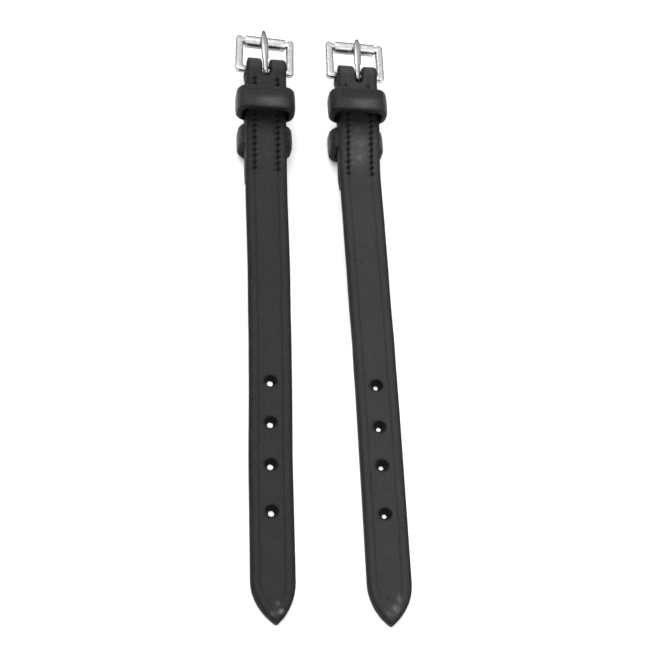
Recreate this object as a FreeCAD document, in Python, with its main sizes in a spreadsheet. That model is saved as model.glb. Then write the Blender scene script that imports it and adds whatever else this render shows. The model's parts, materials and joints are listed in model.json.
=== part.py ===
import FreeCAD, Part
import math
import os
import Sketcher

# A pair of leather spur straps, each with a roller buckle and two keepers, in millimetres.
# Row frame: +Z up from the surface that the straps lie on, +Y from the pointed ends towards
# the buckles, origin under the middle of the pair.
# Strap frame: each strap is built with its buckle bar above the origin and its point at -Y.
# Buckle frame: each buckle is built with its heel bar along X through the origin.

SIZES = [
    # Strap leather
    ("strap_width", 13.0),
    ("leather", 2.5),
    ("bar_to_point", 186.6),
    ("point_length", 13.2),
    ("flat_end", 105.0),
    ("level_end", 46.0),
    ("turn_back", 44.5),
    ("skive_length", 4.6),
    ("skive_edge", 0.9),
    ("layer_gap", 0.8),
    ("bar_height", 9.3),
    ("fold_inside_radius", 1.7),
    ("fold_neck_radius", 6.0),
    ("slot_width", 3.0),
    ("slot_reach", 3.5),
    ("hole_diameter", 3.6),
    # Keepers
    ("keeper_width", 8.0),
    ("keeper_wall", 1.8),
    ("keeper_outside", 18.8),
    ("keeper_reach", 6.4),
    ("keeper_crown_radius", 4.4),
    ("keeper_foot_radius", 2.6),
    ("keeper_foot_inside", 0.5),
    # Stitching
    ("thread_width", 0.8),
    ("thread_height", 0.3),
    ("stitch_pitch", 2.32),
    ("stitch_length", 1.9),
    ("stitch_count", 15),
    ("first_stitch", 7.1),
    ("stitch_row", 3.7),
    # Roller buckle
    ("wire", 2.3),
    ("buckle_inside", 14.2),
    ("bar_spacing", 12.0),
    ("buckle_corner", 1.5),
    ("leg_width", 2.6),
    ("leg_thickness", 2.4),
    ("leg_heel_reach", 1.45),
    ("leg_front_reach", 2.1),
    ("roller_diameter", 4.2),
    ("roller_bore", 2.46),
    ("roller_length", 13.2),
    ("tongue_width", 2.0),
    ("tongue_thickness", 1.3),
    ("tongue_bore", 2.42),
    ("tongue_eye", 4.2),
    ("tongue_tip_width", 1.3),
    ("tongue_taper", 4.0),
    ("tongue_overhang", 0.4),
    ("roller_gap", 0.06),
    # Where each strap lies, in the row frame
    ("left_bar_x", -18.18),
    ("left_bar_y", 85.11),
    ("left_turn", 1.97),
    ("left_buckle_turn", -2.6),
    ("left_buckle_droop", 4.0),
    ("left_point_shift", 1.0),
    ("left_front_keeper", 16.5),
    ("left_rear_keeper", 24.6),
    ("left_hole_nearest", 109.5),
    ("left_hole_second", 123.4),
    ("left_hole_third", 137.2),
    ("left_hole_farthest", 152.1),
    ("right_bar_x", 11.52),
    ("right_bar_y", 86.71),
    ("right_turn", 3.25),
    ("right_buckle_turn", -1.8),
    ("right_buckle_droop", 3.0),
    ("right_point_shift", 0.1),
    ("right_front_keeper", 15.2),
    ("right_rear_keeper", 23.9),
    ("right_hole_nearest", 109.7),
    ("right_hole_second", 123.7),
    ("right_hole_third", 136.5),
    ("right_hole_farthest", 152.1),
]

SIDES = ("left", "right")
HOLES = ("hole_nearest", "hole_second", "hole_third", "hole_farthest")
MARGIN = 2.0  # how far a cutting outline runs past the solid that it cuts
START, END, CENTRE = 1, 2, 3  # the points of a sketch line or arc
ORIGIN = (-1, 1)  # a sketch's own origin point


class Size:
    """A length that knows its number and the sheet expression that gives it."""

    def __init__(self, number, text):
        self.number = number
        self.text = text

    def __add__(self, other):
        other = as_size(other)
        return Size(self.number + other.number, f"({self.text} + {other.text})")

    def __sub__(self, other):
        other = as_size(other)
        return Size(self.number - other.number, f"({self.text} - {other.text})")

    def __mul__(self, factor):
        return Size(self.number * factor, f"({self.text} * {factor})")

    def __truediv__(self, divisor):
        return Size(self.number / divisor, f"({self.text} / {divisor})")

    def __neg__(self):
        return Size(-self.number, f"(0 - {self.text})")


def as_size(value):
    """Plain numbers join sheet sizes in sums."""
    return value if isinstance(value, Size) else Size(float(value), str(float(value)))


def make_sheet(doc):
    """Write the driving dimensions into a sheet and return them by name."""
    sheet = doc.addObject("Spreadsheet::Sheet", "Sizes")
    sizes = {}
    for row, (alias, value) in enumerate(SIZES, start=1):
        sheet.set(f"A{row}", alias)
        sheet.set(f"B{row}", str(value))
        sheet.setAlias(f"B{row}", alias)
        sizes[alias] = Size(value, f"Sizes.{alias}")
    doc.recompute()
    return sizes


def origin_feature(body, role):
    """The origin plane or axis of a body that has this role."""
    return next(item for item in body.Origin.OriginFeatures if item.Role == role)


class Outline:
    """A sketch on one of its body's origin planes, whose sizes are bound to the sheet."""

    def __init__(self, body, name, role, offset=None):
        self.sketch = body.newObject("Sketcher::SketchObject", f"{body.Name}_{name}")
        self.sketch.AttachmentSupport = (origin_feature(body, role), [""])
        self.sketch.MapMode = "FlatFace"
        if offset is not None:
            self.sketch.AttachmentOffset.Base.z = offset.number
            self.sketch.setExpression("AttachmentOffset.Base.z", offset.text)

    def line(self, start, end):
        first = FreeCAD.Vector(start[0], start[1], 0)
        last = FreeCAD.Vector(end[0], end[1], 0)
        return self.sketch.addGeometry(Part.LineSegment(first, last), False)

    def circle(self, centre, radius):
        middle = FreeCAD.Vector(centre[0], centre[1], 0)
        circle = Part.Circle(middle, FreeCAD.Vector(0, 0, 1), radius)
        return self.sketch.addGeometry(circle, False)

    def arc(self, centre, radius, first, last):
        """An arc that runs anticlockwise from the first angle to the last, in degrees."""
        middle = FreeCAD.Vector(centre[0], centre[1], 0)
        circle = Part.Circle(middle, FreeCAD.Vector(0, 0, 1), radius)
        arc = Part.ArcOfCircle(circle, math.radians(first), math.radians(last))
        return self.sketch.addGeometry(arc, False)

    def rule(self, kind, *where):
        """A constraint with no size."""
        self.sketch.addConstraint(Sketcher.Constraint(kind, *where))

    def bind(self, kind, *where, size):
        """A constraint whose size comes from the sheet."""
        size = as_size(size)
        index = self.sketch.addConstraint(Sketcher.Constraint(kind, *where, size.number))
        self.sketch.setExpression(f"Constraints[{index}]", size.text)

    def across(self, piece, point, size):
        self.bind("DistanceX", *ORIGIN, piece, point, size=size)

    def along(self, piece, point, size):
        self.bind("DistanceY", *ORIGIN, piece, point, size=size)

    def radius(self, piece, size):
        self.bind("Radius", piece, size=size)

    def polygon(self, corners):
        """Straight sides through corners that are pairs of sheet sizes."""
        points = [(as_size(x).number, as_size(y).number) for x, y in corners]
        sides = [
            self.line(start, end)
            for start, end in zip(points, points[1:] + points[:1])
        ]
        for side, following in zip(sides, sides[1:] + sides[:1]):
            self.rule("Coincident", side, END, following, START)
        for side, (x, y) in zip(sides, corners):
            self.across(side, START, x)
            self.along(side, START, y)
        return sides

    def rounded_box(self, half_width, low, high, low_radius, high_radius):
        """A box about the sketch's Y axis, with its own radii at the bottom and the top."""
        x = half_width.number
        y0, y1 = as_size(low).number, high.number
        r0, r1 = low_radius.number, high_radius.number
        pieces = [
            self.line((-x + r0, y0), (x - r0, y0)),
            self.arc((x - r0, y0 + r0), r0, 270, 360),
            self.line((x, y0 + r0), (x, y1 - r1)),
            self.arc((x - r1, y1 - r1), r1, 0, 90),
            self.line((x - r1, y1), (-x + r1, y1)),
            self.arc((-x + r1, y1 - r1), r1, 90, 180),
            self.line((-x, y1 - r1), (-x, y0 + r0)),
            self.arc((-x + r0, y0 + r0), r0, 180, 270),
        ]
        for piece, following in zip(pieces, pieces[1:] + pieces[:1]):
            self.rule("Tangent", piece, END, following, START)
        bottom, low_right, right, high_right, top, high_left, left, low_left = pieces
        for side in (bottom, top):
            self.rule("Horizontal", side)
        for side in (right, left):
            self.rule("Vertical", side)
        self.across(right, START, half_width)
        self.across(left, START, -half_width)
        self.along(bottom, START, low)
        self.along(top, START, high)
        for arc, radius in (
            (low_right, low_radius),
            (low_left, low_radius),
            (high_right, high_radius),
            (high_left, high_radius),
        ):
            self.radius(arc, radius)


def new_body(doc, name):
    body = doc.addObject("PartDesign::Body", name)
    body.Label = name
    return body


def pad(body, name, outline, length):
    """Thicken an outline evenly on both sides of its plane."""
    feature = body.newObject("PartDesign::Pad", f"{body.Name}_{name}")
    feature.Profile = outline.sketch
    feature.Midplane = True
    feature.setExpression("Length", length.text)
    return feature


def pocket_up(doc, body, name, outline, depth=None):
    """Cut an outline upwards from its plane, right through or to a depth."""
    before = body.Shape.Volume
    feature = body.newObject("PartDesign::Pocket", f"{body.Name}_{name}")
    feature.Profile = outline.sketch
    feature.Reversed = True
    if depth is None:
        feature.Type = "ThroughAll"
    else:
        feature.setExpression("Length", depth.text)
    doc.recompute()
    if body.Shape.Volume >= before:
        raise RuntimeError(f"{feature.Name} cuts nothing")


def pocket_across(doc, body, name, outline, width):
    """Cut an outline evenly to both sides of its plane."""
    before = body.Shape.Volume
    feature = body.newObject("PartDesign::Pocket", f"{body.Name}_{name}")
    feature.Profile = outline.sketch
    feature.Midplane = True
    feature.setExpression("Length", width.text)
    doc.recompute()
    if body.Shape.Volume >= before:
        raise RuntimeError(f"{feature.Name} cuts nothing")


def strap_spine(body, s):
    """The middle line of the strap, seen from the side: flat, up, level, round the bar, back."""
    spine = Outline(body, "spine", "YZ_Plane")
    half = s["leather"] / 2
    layer = (s["leather"] + s["layer_gap"]) / 2
    upper = s["bar_height"] + layer
    lower = s["bar_height"] - layer
    fold = s["fold_inside_radius"] + half
    neck = s["fold_neck_radius"]

    rise = upper.number - half.number
    run = s["flat_end"].number - s["level_end"].number
    slope = 2 * math.atan2(rise, run)
    bend = run / (2 * math.sin(slope))
    steep = math.degrees(slope)
    reach = fold.number + neck.number
    neck_back = math.sqrt(reach**2 - (layer.number + neck.number) ** 2)
    open_angle = math.degrees(math.atan2(layer.number + neck.number, -neck_back))
    bar = s["bar_height"].number
    flat_end = -s["flat_end"].number
    level_end = -s["level_end"].number

    flat = spine.line((-s["bar_to_point"].number, half.number), (flat_end, half.number))
    climb = spine.arc((flat_end, half.number + bend), bend, 270, 270 + steep)
    settle = spine.arc((level_end, upper.number - bend), bend, 90, 90 + steep)
    level = spine.line((level_end, upper.number), (-neck_back, upper.number))
    over = spine.arc(
        (-neck_back, upper.number + neck.number), neck.number, 270, 180 + open_angle
    )
    round_bar = spine.arc((0, bar), fold.number, -open_angle, open_angle)
    under = spine.arc(
        (-neck_back, lower.number - neck.number), neck.number, 180 - open_angle, 90
    )
    back = spine.line((-neck_back, lower.number), (-s["turn_back"].number, lower.number))

    for join in (
        (flat, END, climb, START),
        (climb, END, settle, END),
        (settle, START, level, START),
        (level, END, over, START),
        (over, END, round_bar, END),
        (round_bar, START, under, START),
        (under, END, back, START),
    ):
        spine.rule("Tangent", *join)
    for run_line in (flat, level, back):
        spine.rule("Horizontal", run_line)
    spine.rule("Equal", climb, settle)
    spine.rule("Equal", over, under)
    spine.across(flat, START, -s["bar_to_point"])
    spine.along(flat, START, half)
    spine.across(flat, END, -s["flat_end"])
    spine.across(level, START, -s["level_end"])
    spine.along(level, START, upper)
    spine.radius(over, neck)
    spine.radius(round_bar, fold)
    spine.across(round_bar, CENTRE, 0)
    spine.along(round_bar, CENTRE, s["bar_height"])
    spine.along(back, END, lower)
    spine.across(back, END, -s["turn_back"])
    return spine


def cut_point(doc, body, s, shift):
    """Trim the end to an English point: two arcs that leave the edges and meet in a tip."""
    outline = Outline(body, "point", "XY_Plane")
    half = s["strap_width"] / 2
    shoulder = s["point_length"] - s["bar_to_point"]
    tip = -s["bar_to_point"]
    arcs = []
    for sign in (-1, 1):
        reach = half.number - sign * shift.number
        radius = (reach**2 + s["point_length"].number ** 2) / (2 * reach)
        centre = (sign * (half.number - radius), shoulder.number)
        spread = math.degrees(math.asin(s["point_length"].number / radius))
        if sign < 0:
            arcs.append(outline.arc(centre, radius, 180, 180 + spread))
        else:
            arcs.append(outline.arc(centre, radius, 360 - spread, 360))
    left_arc, right_arc = arcs
    outer = half.number + MARGIN
    below = tip.number - MARGIN
    top = shoulder.number
    sides = [
        outline.line((half.number, top), (outer, top)),
        outline.line((outer, top), (outer, below)),
        outline.line((outer, below), (-outer, below)),
        outline.line((-outer, below), (-outer, top)),
        outline.line((-outer, top), (-half.number, top)),
    ]
    for side, following in zip(sides, sides[1:]):
        outline.rule("Coincident", side, END, following, START)
    outline.rule("Coincident", right_arc, END, sides[0], START)
    outline.rule("Coincident", sides[-1], END, left_arc, START)
    outline.rule("Coincident", left_arc, END, right_arc, START)
    for side in (sides[0], sides[2], sides[4]):
        outline.rule("Horizontal", side)
    for side in (sides[1], sides[3]):
        outline.rule("Vertical", side)
    outline.across(left_arc, END, shift)
    outline.along(left_arc, END, tip)
    for arc, point, sign in ((left_arc, START, -1), (right_arc, END, 1)):
        outline.across(arc, point, half * sign)
        outline.along(arc, CENTRE, shoulder)
    outline.along(sides[0], START, shoulder)
    outline.along(sides[4], START, shoulder)
    outline.across(sides[1], START, half + MARGIN)
    outline.across(sides[3], START, -half - MARGIN)
    outline.along(sides[2], START, tip - MARGIN)
    pocket_up(doc, body, "point_cut", outline, s["leather"] * 2)


def cut_slot(doc, body, s):
    """Open the fold for the tongue: a round-ended slot through both layers."""
    outline = Outline(body, "slot", "XY_Plane")
    half = s["slot_width"] / 2
    front = s["fold_inside_radius"] + s["leather"] + MARGIN
    centre = half - s["slot_reach"]
    end = outline.arc((0, centre.number), half.number, 180, 360)
    right = outline.line((half.number, centre.number), (half.number, front.number))
    mouth = outline.line((half.number, front.number), (-half.number, front.number))
    left = outline.line((-half.number, front.number), (-half.number, centre.number))
    outline.rule("Tangent", end, END, right, START)
    outline.rule("Coincident", right, END, mouth, START)
    outline.rule("Coincident", mouth, END, left, START)
    outline.rule("Tangent", left, END, end, START)
    outline.rule("Horizontal", mouth)
    outline.rule("Vertical", left)
    outline.radius(end, half)
    outline.across(end, CENTRE, 0)
    outline.along(end, CENTRE, centre)
    outline.along(mouth, START, front)
    pocket_up(doc, body, "slot_cut", outline)


def punch_holes(doc, body, s, side):
    """Four round holes in the flat end, spaced as they were punched."""
    outline = Outline(body, "holes", "XY_Plane")
    for name in HOLES:
        distance = s[f"{side}_{name}"]
        hole = outline.circle((0, -distance.number), s["hole_diameter"].number / 2)
        outline.across(hole, CENTRE, 0)
        outline.along(hole, CENTRE, -distance)
        outline.radius(hole, s["hole_diameter"] / 2)
    pocket_up(doc, body, "hole_cut", outline, s["leather"] * 2)


def skive_end(doc, body, s):
    """Thin the cut end of the turn-back from below."""
    outline = Outline(body, "skive", "YZ_Plane")
    inner_face = s["bar_height"] - s["layer_gap"] / 2
    outer_face = inner_face - s["leather"]
    start = s["skive_length"] - s["turn_back"]
    end = -s["turn_back"]
    outline.polygon(
        [
            (start, outer_face),
            (end, inner_face - s["skive_edge"]),
            (end - MARGIN, inner_face - s["skive_edge"]),
            (end - MARGIN, outer_face),
        ]
    )
    pocket_across(doc, body, "skive_cut", outline, s["strap_width"] * 2)


def build_strap(doc, s, side):
    """One strip of leather, bent along its spine, then pointed, slotted, punched and skived."""
    body = new_body(doc, f"{side}_strap")
    spine = strap_spine(body, s)
    section = Outline(body, "section", "XZ_Plane", s["bar_to_point"])
    half = s["strap_width"] / 2
    section.polygon(
        [(-half, 0), (half, 0), (half, s["leather"]), (-half, s["leather"])]
    )
    strip = body.newObject("PartDesign::AdditivePipe", f"{body.Name}_strip")
    strip.Profile = section.sketch
    strip.Spine = (spine.sketch, [])
    doc.recompute()
    expected = spine.sketch.Shape.Length * s["strap_width"].number * s["leather"].number
    if abs(strip.Shape.Volume / expected - 1) > 0.01:
        raise RuntimeError(f"{strip.Name} isn't a strip of even thickness")
    cut_point(doc, body, s, s[f"{side}_point_shift"])
    cut_slot(doc, body, s)
    punch_holes(doc, body, s, side)
    skive_end(doc, body, s)
    return body


def build_keeper(doc, s, name, centre, above):
    """A leather loop round one layer, with its thinned root held between the two layers."""
    body = new_body(doc, name)
    gap = s["layer_gap"] / 2
    side = 1 if above else -1
    half = s["keeper_outside"] / 2
    crown_out = gap + s["leather"] + s["keeper_reach"]
    crown_in = crown_out - s["keeper_wall"]
    crown_r = s["keeper_crown_radius"]
    foot_r = s["keeper_foot_radius"]
    outer = Outline(body, "ring", "XZ_Plane", centre)
    bar = s["bar_height"]
    if above:
        outer.rounded_box(half, bar - gap, bar + crown_out, foot_r, crown_r)
        outer.rounded_box(
            half - s["keeper_wall"],
            bar + gap,
            bar + crown_in,
            s["keeper_foot_inside"],
            crown_r - s["keeper_wall"],
        )
    else:
        outer.rounded_box(half, bar - crown_out, bar + gap, crown_r, foot_r)
        outer.rounded_box(
            half - s["keeper_wall"],
            bar - crown_in,
            bar - gap,
            crown_r - s["keeper_wall"],
            s["keeper_foot_inside"],
        )
    pad(body, "loop", outer, s["keeper_width"])
    doc.recompute()
    return body


def build_stitches(doc, s, name, row):
    """One row of lock stitches: each has a leg through both layers and a bar on each face."""
    body = new_body(doc, name)
    profile = Outline(body, "stitch", "YZ_Plane", row)
    face = s["layer_gap"] / 2 + s["leather"]
    top_in = s["bar_height"] + face
    top_out = top_in + s["thread_height"]
    low_in = s["bar_height"] - face
    low_out = low_in - s["thread_height"]
    back = -s["first_stitch"]
    leg = back + s["thread_width"]
    front = back + s["stitch_length"]
    profile.polygon(
        [
            (back, low_out),
            (front, low_out),
            (front, low_in),
            (leg, low_in),
            (leg, top_in),
            (front, top_in),
            (front, top_out),
            (back, top_out),
        ]
    )
    stitch = pad(body, "thread", profile, s["thread_width"])
    doc.recompute()
    pattern = body.newObject("PartDesign::LinearPattern", f"{body.Name}_row")
    pattern.Originals = [stitch]
    pattern.Direction = (origin_feature(body, "Y_Axis"), [""])
    pattern.Reversed = True
    pattern.setExpression("Length", "Sizes.stitch_pitch * (Sizes.stitch_count - 1)")
    pattern.setExpression("Occurrences", "Sizes.stitch_count")
    body.Tip = pattern
    doc.recompute()
    return body


def build_frame(doc, s, name):
    """The buckle's frame: two flat legs joined by the round heel bar and the round front bar."""
    body = new_body(doc, name)
    plate = Outline(body, "plate", "XY_Plane")
    inside = s["buckle_inside"] / 2
    heel = s["leg_heel_reach"]
    front = s["bar_spacing"] + s["leg_front_reach"]
    corner = s["buckle_corner"]
    plate.rounded_box(inside + s["leg_width"], -heel, front, corner, corner)
    plate.rounded_box(inside, heel, s["bar_spacing"] - heel, corner, corner)
    pad(body, "flat", plate, s["leg_thickness"])
    doc.recompute()

    trim = Outline(body, "trim", "YZ_Plane")
    above = s["leg_thickness"] / 2 + MARGIN
    heel_cut = heel + MARGIN
    front_cut = s["bar_spacing"] - heel - MARGIN
    for start, end in ((-heel_cut, heel_cut), (front_cut, front + MARGIN)):
        trim.polygon([(start, -above), (end, -above), (end, above), (start, above)])
    for middle in (as_size(0), s["bar_spacing"]):
        bar = trim.circle((middle.number, 0), s["wire"].number / 2)
        trim.across(bar, CENTRE, middle)
        trim.along(bar, CENTRE, 0)
        trim.radius(bar, s["wire"] / 2)
    pocket_across(doc, body, "bar_cut", trim, s["buckle_inside"])
    return body


def build_roller(doc, s, name):
    """The tube that turns on the front bar."""
    body = new_body(doc, name)
    section = Outline(body, "section", "YZ_Plane")
    for diameter in (s["roller_diameter"], s["roller_bore"]):
        ring = section.circle((s["bar_spacing"].number, 0), diameter.number / 2)
        section.across(ring, CENTRE, s["bar_spacing"])
        section.along(ring, CENTRE, 0)
        section.radius(ring, diameter / 2)
    pad(body, "tube", section, s["roller_length"])
    doc.recompute()
    return body


def build_tongue(doc, s, name):
    """The tongue: an eye round the heel bar and an arm that lies on the roller."""
    body = new_body(doc, name)
    eye = Outline(body, "eye", "YZ_Plane")
    for diameter in (s["tongue_eye"], s["tongue_bore"]):
        ring = eye.circle((0, 0), diameter.number / 2)
        eye.across(ring, CENTRE, 0)
        eye.along(ring, CENTRE, 0)
        eye.radius(ring, diameter / 2)
    pad(body, "eye_ring", eye, s["tongue_width"])
    doc.recompute()

    arm = Outline(body, "arm", "YZ_Plane")
    root = s["tongue_bore"] / 2 + s["roller_gap"]
    seat = s["roller_diameter"] / 2 + s["roller_gap"]
    seat_start = s["bar_spacing"] - s["roller_diameter"] / 2
    tip = s["bar_spacing"] + s["roller_diameter"] / 2 + s["tongue_overhang"]
    arm.polygon(
        [
            (0, root),
            (seat_start, seat),
            (tip, seat),
            (tip, seat + s["tongue_thickness"] / 2),
            (seat_start + s["tongue_thickness"], seat + s["tongue_thickness"]),
            (0, s["tongue_eye"] / 2),
        ]
    )
    pad(body, "arm_bar", arm, s["tongue_width"])
    doc.recompute()

    taper = Outline(body, "taper", "XY_Plane")
    start = tip - s["tongue_taper"]
    for sign in (-1, 1):
        taper.polygon(
            [
                (s["tongue_width"] / 2 * sign, start),
                (s["tongue_tip_width"] / 2 * sign, tip),
                (s["tongue_tip_width"] / 2 * sign, tip + MARGIN),
                ((s["tongue_width"] / 2 + MARGIN) * sign, tip + MARGIN),
                ((s["tongue_width"] / 2 + MARGIN) * sign, start),
            ]
        )
    pocket_up(doc, body, "taper_cut", taper)
    return body


def place_side(s, side, strap_pieces, buckle_pieces):
    """Lay one strap on the surface, and turn its buckle in the fold."""
    turn = FreeCAD.Rotation(FreeCAD.Vector(0, 0, 1), s[f"{side}_turn"].number)
    where = FreeCAD.Vector(s[f"{side}_bar_x"].number, s[f"{side}_bar_y"].number, 0)
    strap_place = FreeCAD.Placement(where, turn)
    yaw = FreeCAD.Rotation(FreeCAD.Vector(0, 0, 1), s[f"{side}_buckle_turn"].number)
    droop = FreeCAD.Rotation(FreeCAD.Vector(1, 0, 0), -s[f"{side}_buckle_droop"].number)
    bar = FreeCAD.Vector(0, 0, s["bar_height"].number)
    buckle_place = strap_place.multiply(FreeCAD.Placement(bar, yaw.multiply(droop)))
    for body in strap_pieces:
        body.Placement = strap_place
    for body in buckle_pieces:
        body.Placement = buckle_place


def build_side(doc, s, side):
    """Every piece of one strap, in place."""
    strap_pieces = [
        build_strap(doc, s, side),
        build_keeper(doc, s, f"{side}_front_keeper", s[f"{side}_front_keeper"], True),
        build_keeper(doc, s, f"{side}_rear_keeper", s[f"{side}_rear_keeper"], False),
        build_stitches(doc, s, f"{side}_outer_stitches", -s["stitch_row"]),
        build_stitches(doc, s, f"{side}_inner_stitches", s["stitch_row"]),
    ]
    buckle_pieces = [
        build_frame(doc, s, f"{side}_buckle_frame"),
        build_roller(doc, s, f"{side}_buckle_roller"),
        build_tongue(doc, s, f"{side}_buckle_tongue"),
    ]
    place_side(s, side, strap_pieces, buckle_pieces)
    return strap_pieces + buckle_pieces


def check(doc, bodies):
    """Stop before writing if any feature failed or any solid is broken."""
    doc.recompute()
    for item in doc.Objects:
        if "Invalid" in item.State or "Error" in item.State:
            raise RuntimeError(f"{item.Name} failed: {item.State}")
    for body in bodies:
        if body.Shape.isNull() or not body.Shape.isValid():
            raise RuntimeError(f"{body.Label} has no valid shape")


def main():
    doc = FreeCAD.newDocument("SpurStraps")
    sizes = make_sheet(doc)
    bodies = [body for side in SIDES for body in build_side(doc, sizes, side)]
    check(doc, bodies)
    os.makedirs("parts", exist_ok=True)
    for body in bodies:
        body.Shape.exportStep(os.path.join("parts", f"{body.Label}.step"))
        print(body.Label, len(body.Shape.Solids), "solids", round(body.Shape.Volume, 1), "mm3")


main()
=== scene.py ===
"""Looks for the pair of spur straps: leather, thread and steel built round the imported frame.

Lengths are millimetres in each piece's own frame, and `Place` turns them into the row frame's
metres. A strap's own frame has its buckle bar above the origin and its tip at -Y. A buckle's
own frame has its heel bar along X through the origin and its roller at +Y.
"""

import json
import math
import random

import bmesh
import bpy
import numpy as np
from mathutils import Matrix, Vector


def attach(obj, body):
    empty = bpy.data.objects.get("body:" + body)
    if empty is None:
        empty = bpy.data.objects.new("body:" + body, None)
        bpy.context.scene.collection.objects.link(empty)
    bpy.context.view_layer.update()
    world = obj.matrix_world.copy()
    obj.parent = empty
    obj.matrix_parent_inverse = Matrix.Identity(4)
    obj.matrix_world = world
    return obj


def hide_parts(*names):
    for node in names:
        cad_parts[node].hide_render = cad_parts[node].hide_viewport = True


MM = 0.001
SIDES = ("left", "right")
HOLES = ("hole_nearest", "hole_second", "hole_third", "hole_farthest")

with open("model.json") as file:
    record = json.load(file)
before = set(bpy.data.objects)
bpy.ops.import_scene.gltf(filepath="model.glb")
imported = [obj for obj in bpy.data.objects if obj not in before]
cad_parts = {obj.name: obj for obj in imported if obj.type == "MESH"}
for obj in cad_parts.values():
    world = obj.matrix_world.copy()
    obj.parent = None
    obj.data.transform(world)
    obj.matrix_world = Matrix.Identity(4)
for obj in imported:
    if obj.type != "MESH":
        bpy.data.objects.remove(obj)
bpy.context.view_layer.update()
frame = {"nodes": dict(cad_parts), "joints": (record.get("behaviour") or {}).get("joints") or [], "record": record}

JOINTS = {joint["name"]: joint for joint in frame["joints"]}
MOUNTS = {mount["name"]: mount for mount in frame["record"]["mounts"]}

# Strap leather
POINT_LENGTH = 13.2  # from the tip to where the edges run straight
TIP_RADIUS = 0.55
FLAT_END = 105.0  # from the bar, where the strap leaves the floor
LEVEL_END = 46.0  # from the bar, where it lies level again
TURN_BACK = 44.5
LAYER_GAP = 0.8
FOLD_INSIDE = 1.7
FOLD_NECK = 6.0
SKIVE_LENGTH = 4.6
SKIVE_EDGE = 0.9
SKIVE_NOSE = 0.8  # length of the rounded end of the thinned leather
EDGE_ROUND = 0.6
CREASE_INSET = 2.8
CREASE_WIDTH = 0.3
CREASE_DEPTH = 0.1
SLOT_END = {"left": 2.9, "right": 3.5}  # how far behind the bar the tongue's slot reaches
PATCH_HALF = 2.9  # half the square of mesh that is opened for a hole
HOLE_RIM = 0.35
SLOT_RIM = 0.5
SLOT_MARGIN = 1.3  # mesh that is opened behind each end of the slot
HOLE_TAPER = {"left": 0.5, "right": 0.38}  # part of its radius that a hole keeps on the flesh side

# Buckle
WIRE = 2.3
LEG_WIDTH = 2.75
LEG_FLATNESS = 0.28  # 0 leaves a leg's section round
FRAME_CORNER = 1.5
WINDOW_CORNERS = (0.45, 0.15)  # at the heel bar and at the roller
ROLLER_BORE = 1.23
ROLLER_SEAM = 0.03  # half the seam's gap, in radians
TONGUE_EYE = 1.23
TONGUE_GAP = 0.06  # between a resting tongue and its roller
TONGUE_REACH = {"left": 0.7, "right": -0.5}  # how far each tongue's tip has been bent or worn
TONGUE_LEAN = {"left": -0.075, "right": 0.0}  # across, for each millimetre along
TONGUE_SLIDE = {"left": 0.0, "right": 0.55}  # where it has slid to on the heel bar
BUCKLE_SLIDE = {"left": -0.28, "right": 0.0}  # the same for each frame with its roller

# Keepers: how far each has slipped sideways, and how far wear has changed its size
KEEPER_SLIP = {"left_front": -0.6, "left_rear": 0.4, "right_front": -0.9, "right_rear": -0.2}
KEEPER_WALL = 2.1
KEEPER_EDGE = 0.6
KEEPER_OUTER_CORNERS = (3.6, 3.5)  # at the root and at the crown
KEEPER_INNER_CORNERS = (1.6, 2.0)
FRONT_SPREAD = (0.2, 0.5)  # how much longer a front keeper is behind and in front
FRONT_PINCH = 0.18  # how much shorter it is at its root
REAR_SQUEEZE = 0.65  # how much narrower a rear keeper is on each side

# Stitching
STITCH_FIRST = 7.1
STITCH_PITCH = 2.32
STITCH_COUNT = 15
STITCH_ROW = 3.7
STITCH_SLANT = 0.32
SEWN_END = 42.5  # from the bar, where the mesh turns fine enough for the stitches
THREAD_RADIUS = 0.33

# How far each strap sways off its straight line, at distances from the bar
SWAY = {
    "left": {
        0: 0.0, 20: -0.4, 38: -0.6, 50: -0.75, 62: -0.4, 78: 0.4, 95: 0.9, 112: 0.75, 135: 0.28,
        165: 0.2, 200: 0.0,
    },
    "right": {
        0: 0.0, 20: -0.3, 38: -1.4, 50: -1.35, 64: -0.95, 80: 0.15, 94: 1.0, 115: 0.95, 150: 0.6,
        175: 0.3, 200: 0.0,
    },
}
SWAY_SOFTEN = 16.0  # length over which the sway's corners are smoothed
POINT_SHIFT = {"left": 1.0, "right": 0.1}  # how far off the middle line each tip was cut
# Each tongue slot's half width at its two ends and at the front of the fold
SLOT_SHAPE = {"left": (1.25, 1.6), "right": (0.8, 1.8)}
SLOT_SHIFT = {"left": 0.0, "right": 0.55}
FOLD_THIN = {"left": 0.1, "right": 0.9}  # how much the leather is pared at the front of the fold
FOLD_NARROWING = 1.25

# Dulled marks near each tip: how far from the tip, how long, how far across, how wide, how strong
SCUFFS = {
    "left": (
        (3.6, 0.7, 1.6, 0.7, 1.0),
        (2.6, 0.6, -1.4, 0.9, 0.8),
        (6.0, 0.8, 1.0, 0.7, 0.6),
        (3.0, 1.2, 0.0, 2.0, 0.2),
    ),
    "right": (
        (7.8, 1.2, 2.4, 0.6, 1.0),
        (5.2, 0.9, 1.3, 0.8, 1.0),
        (3.4, 0.8, -0.9, 0.8, 0.5),
        (4.0, 2.0, 0.5, 2.4, 0.15),
    ),
}

STRAP_SHEEN = {"left": 0.06, "right": 0.4}  # painted sheen: how strong a lighter patch behind the front keeper is on each strap

LEATHER_SPECULAR = 0.24
THREAD_SPECULAR = 0.12
STEEL_WARMTH = 0.004
FINE_CREASES = (0.25, 0.25, 0.25)
KEEPER_CREASES = (0.16, 1.1, 0.3)  # drawn out along the loop

# Camera, as the straps were photographed
LENS = 111.0
CAMERA_BACK = Vector((-0.153, -0.501, 0.852)).normalized()
CAMERA_DISTANCE = 0.612
CAMERA_TARGET = Vector((0.00273, -0.00355, 0.0026))


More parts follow.
